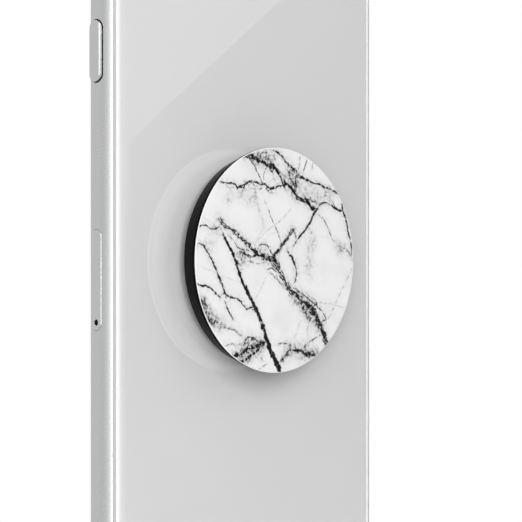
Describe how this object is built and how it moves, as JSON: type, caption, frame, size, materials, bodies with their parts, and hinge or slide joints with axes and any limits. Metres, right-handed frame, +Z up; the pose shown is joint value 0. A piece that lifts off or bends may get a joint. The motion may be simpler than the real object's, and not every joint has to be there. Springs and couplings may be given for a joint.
{
  "type": "smartphone",
  "caption": "Slim smartphone with glass on both faces, a round-edged metal band with side keys and card tray, and a collapsible round grip on the back.",
  "frame": {"origin": "middle of the charge port's mouth at the bottom edge, at the phone's mid-thickness", "axes": "+Z up the phone's length towards the earpiece, +Y out of the back where the grip is, -Y out of the screen, +X towards the side with the side button and the card tray"},
  "size_m": [0.068, 0.0135, 0.1384],
  "materials": {
    "band_metal": "fine bead-blasted silver anodising, satin",
    "antenna_plastic": "satin light grey",
    "gasket_rubber": "matt grey",
    "rear_glass_white": "polished glass over a white print",
    "front_glass_white": "polished glass over a white border print",
    "display_black": "unlit display panel",
    "steel": "pressed stainless steel",
    "dark_mesh": "fine dark mesh",
    "key_glass": "polished white",
    "black_plastic": "moulded, fine texture",
    "battery_foil": "smooth laminate pouch",
    "adhesive": "soft adhesive gel",
    "board_laminate": "solder-masked circuit board",
    "flex_film": "polyimide film",
    "copper_wire": "lacquered copper winding",
    "lens_glass": "coated lens cover",
    "flash_glass": "frosted flash lens",
    "card_plastic": "white card with gold contacts",
    "grip_black": "moulded black polycarbonate",
    "bellows_black": "satin black elastomer",
    "marble_print": "white marble print under a clear gloss"
  },
  "bodies": {
    "phone": {"mid_frame": "band_metal", "antenna_insert_right_bottom": "antenna_plastic", "antenna_insert_right_top": "antenna_plastic", "antenna_insert_left_bottom": "antenna_plastic", "antenna_insert_left_top": "antenna_plastic", "front_gasket": "gasket_rubber", "rear_gasket": "gasket_rubber", "front_glass": "front_glass_white", "rear_glass": "rear_glass_white", "display_panel": "display_black", "display_shield_plate": "steel", "display_flex": "flex_film", "home_key": "key_glass", "home_key_ring": "steel", "home_key_bracket": "steel", "earpiece_mesh": "dark_mesh", "earpiece_speaker": "black_plastic", "front_camera": "black_plastic", "battery": "battery_foil", "battery_adhesive": "adhesive", "main_board": "board_laminate", "board_shield_upper": "steel", "board_shield_lower": "steel", "loudspeaker": "black_plastic", "haptic_motor": "steel", "charge_port_flex": "flex_film", "charging_coil": "copper_wire", "coil_ferrite": "black_plastic", "rear_camera": "black_plastic", "camera_trim_ring": "band_metal", "camera_lens_cover": "lens_glass", "flash_lens": "flash_glass", "charge_port": "steel", "charge_port_tongue": "black_plastic", "bottom_screw_right": "steel", "bottom_screw_left": "steel", "side_dome_switch": "steel", "volume_up_dome_switch": "steel", "volume_down_dome_switch": "steel", "side_button_bracket": "steel", "volume_bracket": "steel", "mute_switch_module": "black_plastic", "sim_reader": "steel", "grip_adhesive_pad": "adhesive", "grip_base": "grip_black", "bellows_wall_lower": "bellows_black"},
    "side_key": {"side_button": "band_metal"},
    "volume_up_key": {"volume_up_button": "band_metal"},
    "volume_down_key": {"volume_down_button": "band_metal"},
    "mute_lever": {"mute_switch": "band_metal"},
    "card_tray": {"sim_tray": "band_metal", "sim_card": "card_plastic"},
    "eject_rod": {"sim_eject_rod": "steel"},
    "grip_lower_ring": {"bellows_ring_lower": "bellows_black", "bellows_wall_middle": "bellows_black"},
    "grip_upper_ring": {"bellows_ring_upper": "bellows_black", "bellows_wall_upper": "bellows_black"},
    "grip_top": {"grip_cap": "grip_black", "grip_insert": "marble_print"}
  },
  "joints": [
    {"name": "side_key_press", "type": "slide", "parent": "phone", "child": "side_key", "axis": [-1, 0, 0], "range_m": [0, 0.00025], "stiffness_N_per_m": 1500, "springref_m": -0.0002},
    {"name": "volume_up_press", "type": "slide", "parent": "phone", "child": "volume_up_key", "axis": [1, 0, 0], "range_m": [0, 0.00025], "stiffness_N_per_m": 1500, "springref_m": -0.0002},
    {"name": "volume_down_press", "type": "slide", "parent": "phone", "child": "volume_down_key", "axis": [1, 0, 0], "range_m": [0, 0.00025], "stiffness_N_per_m": 1500, "springref_m": -0.0002},
    {"name": "mute_flip", "type": "slide", "parent": "phone", "child": "mute_lever", "axis": [0, 1, 0], "range_m": [0, 0.0012]},
    {"name": "card_tray_pull", "type": "slide", "parent": "phone", "child": "card_tray", "axis": [1, 0, 0], "range_m": [0, 0.018]},
    {"name": "eject_rod_push", "type": "slide", "parent": "phone", "child": "eject_rod", "axis": [-1, 0, 0], "range_m": [0, 0.0012], "stiffness_N_per_m": 200, "springref_m": -0.0005},
    {"name": "grip_extend", "type": "slide", "parent": "phone", "child": "grip_lower_ring", "axis": [0, 1, 0], "range_m": [0, 0.005], "deforming": ["bellows_wall_lower"]},
    {"name": "grip_extend_middle", "type": "slide", "parent": "grip_lower_ring", "child": "grip_upper_ring", "axis": [0, 1, 0], "range_m": [0, 0.005], "deforming": ["bellows_wall_middle"]},
    {"name": "grip_extend_top", "type": "slide", "parent": "grip_upper_ring", "child": "grip_top", "axis": [0, 1, 0], "range_m": [0, 0.005], "deforming": ["bellows_wall_upper"]}
  ],
  "couplings": [
    {"joint": "grip_extend_middle", "follows": "grip_extend", "ratio": 1},
    {"joint": "grip_extend_top", "follows": "grip_extend", "ratio": 1}
  ]
}
